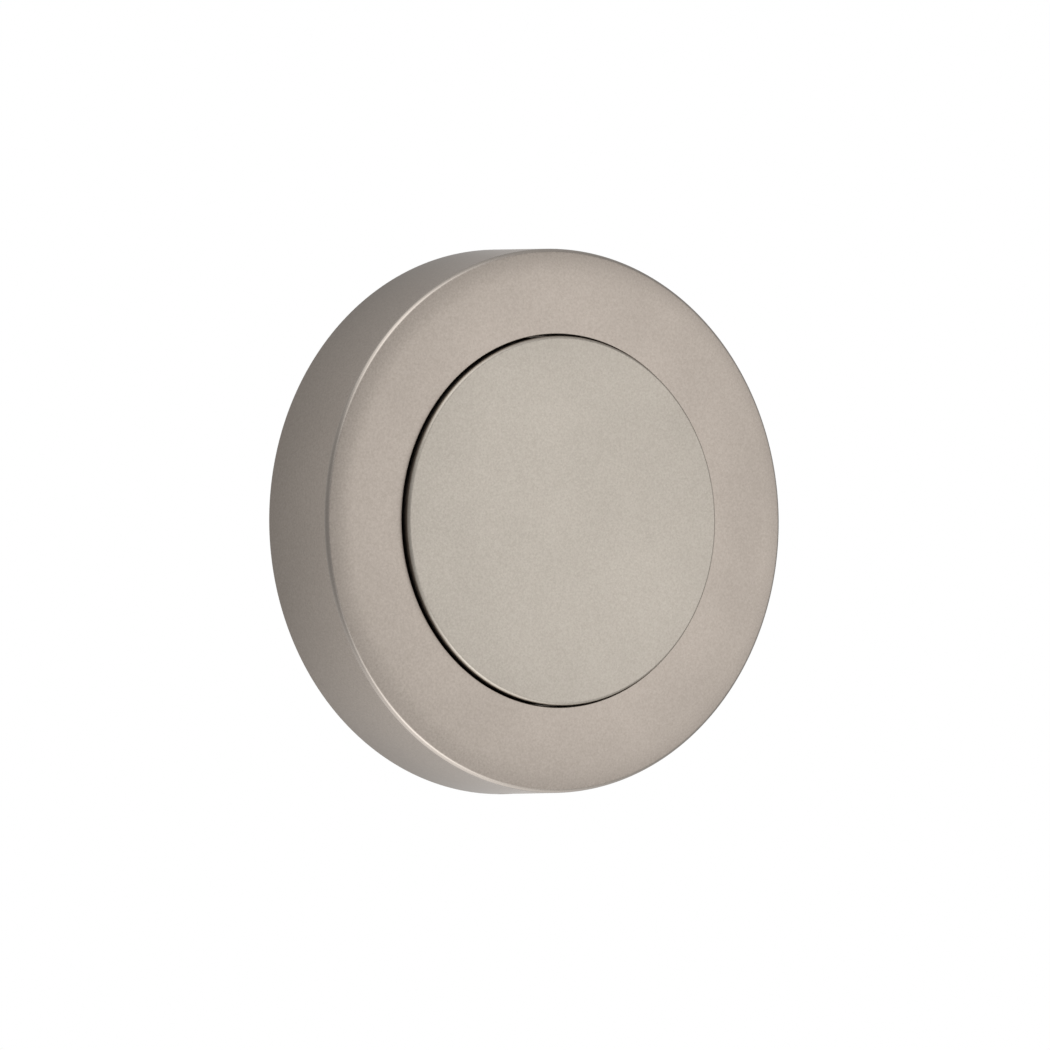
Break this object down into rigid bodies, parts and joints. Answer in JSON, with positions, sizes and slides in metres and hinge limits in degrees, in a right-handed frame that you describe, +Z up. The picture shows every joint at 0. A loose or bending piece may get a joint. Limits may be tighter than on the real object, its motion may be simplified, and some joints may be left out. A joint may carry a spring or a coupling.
{
  "type": "door viewer",
  "caption": "Door viewer with a round satin nickel rose, a magnetic lift-off cover disc over the eyepiece, and a telescoping lens barrel that runs through the door to a small outer flange.",
  "frame": {"origin": "on the optical axis, in the plane of the door's inner face, where the back of the rose meets the door", "axes": "+Y along the optical axis through the door towards the street, so the room is at -Y; +Z up; +X to the right seen from the room"},
  "size_m": [0.052, 0.0392, 0.052],
  "materials": {
    "satin_nickel": "warm satin nickel plate with a fine pearl grain",
    "nickel_brass": "satin nickel plate over brass",
    "brass": "machined brass",
    "blackened_brass": "matt black, so that it doesn't glare",
    "zinc_steel": "bright zinc plate",
    "black_steel": "black oxide",
    "bright_nickel": "bright nickel plate",
    "black_rubber": "matt black silicone",
    "grey_foam": "closed-cell foam",
    "lens_glass": "coated optical glass"
  },
  "bodies": {
    "room_side": {"rose_cover": "satin_nickel", "cover_magnets": "bright_nickel", "cover_bumper": "black_rubber", "mounting_plate": "zinc_steel", "plate_screws": "zinc_steel", "grub_screw": "black_steel", "door_gasket": "grey_foam", "eyepiece_sleeve": "brass", "eyepiece_spacer": "blackened_brass", "eyepiece_lens": "lens_glass", "eyepiece_ring": "blackened_brass"},
    "cover": {"cover_disc": "satin_nickel", "cover_keeper": "zinc_steel"},
    "outer_gasket": {"flange_gasket": "black_rubber"},
    "street_side": {"outer_barrel": "nickel_brass", "objective_seal": "black_rubber", "objective_lens": "lens_glass", "spacer_ring": "blackened_brass", "middle_lens": "lens_glass", "aperture_stop": "blackened_brass", "lens_spacer": "blackened_brass", "relay_lens": "lens_glass", "objective_ring": "blackened_brass"}
  },
  "joints": [
    {"name": "cover_lift", "type": "slide", "parent": "room_side", "child": "cover", "axis": [0, -1, 0], "range_m": [0, 0.03]},
    {"name": "barrel_travel", "type": "slide", "parent": "room_side", "child": "outer_gasket", "axis": [0, 1, 0], "range_m": [0, 0.016]},
    {"name": "barrel_turn", "type": "hinge", "parent": "outer_gasket", "child": "street_side", "pos_m": [0, 0, 0], "axis": [0, 1, 0], "range_deg": [0, 5760]}
  ],
  "couplings": [
    {"joint": "barrel_travel", "follows": "barrel_turn", "m_per_rad": 0.00015915}
  ]
}
